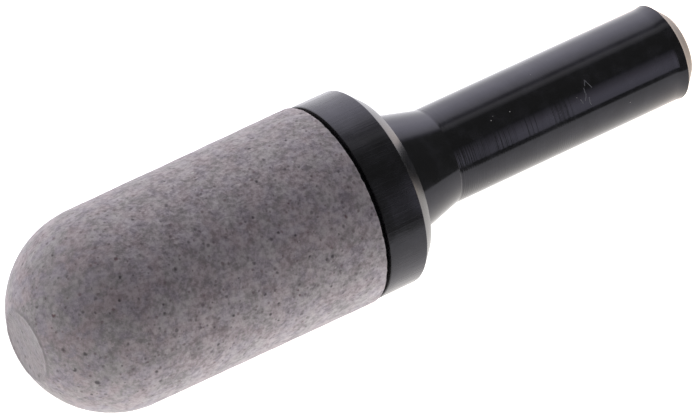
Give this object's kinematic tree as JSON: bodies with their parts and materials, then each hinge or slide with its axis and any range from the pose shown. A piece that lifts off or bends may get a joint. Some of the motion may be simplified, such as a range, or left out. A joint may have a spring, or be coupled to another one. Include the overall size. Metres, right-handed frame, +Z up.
{
  "type": "air stone",
  "caption": "Porous thimble pressed onto a turned push-in stem: air fed into the stem's bore leaves through the fine pores of the wall, as small bubbles or as a quiet exhaust.",
  "frame": {"origin": "on the axis at the root of the plug stem, where its straight part begins", "axes": "+X along the axis towards the stem's tip, the closed dome towards -X, +Z up as the part lies on its side; the part is round about X"},
  "size_m": [0.0604, 0.0166, 0.0166],
  "materials": {
    "sintered_plastic": "rough, finely grained sintered polyethylene, grey-mauve with darker specks",
    "turned_plastic": "black acetal, satin with fine turning marks on the collar, glossy on the stem"
  },
  "bodies": {
    "root": {"porous_body": "sintered_plastic", "connector": "turned_plastic"}
  },
  "joints": []
}
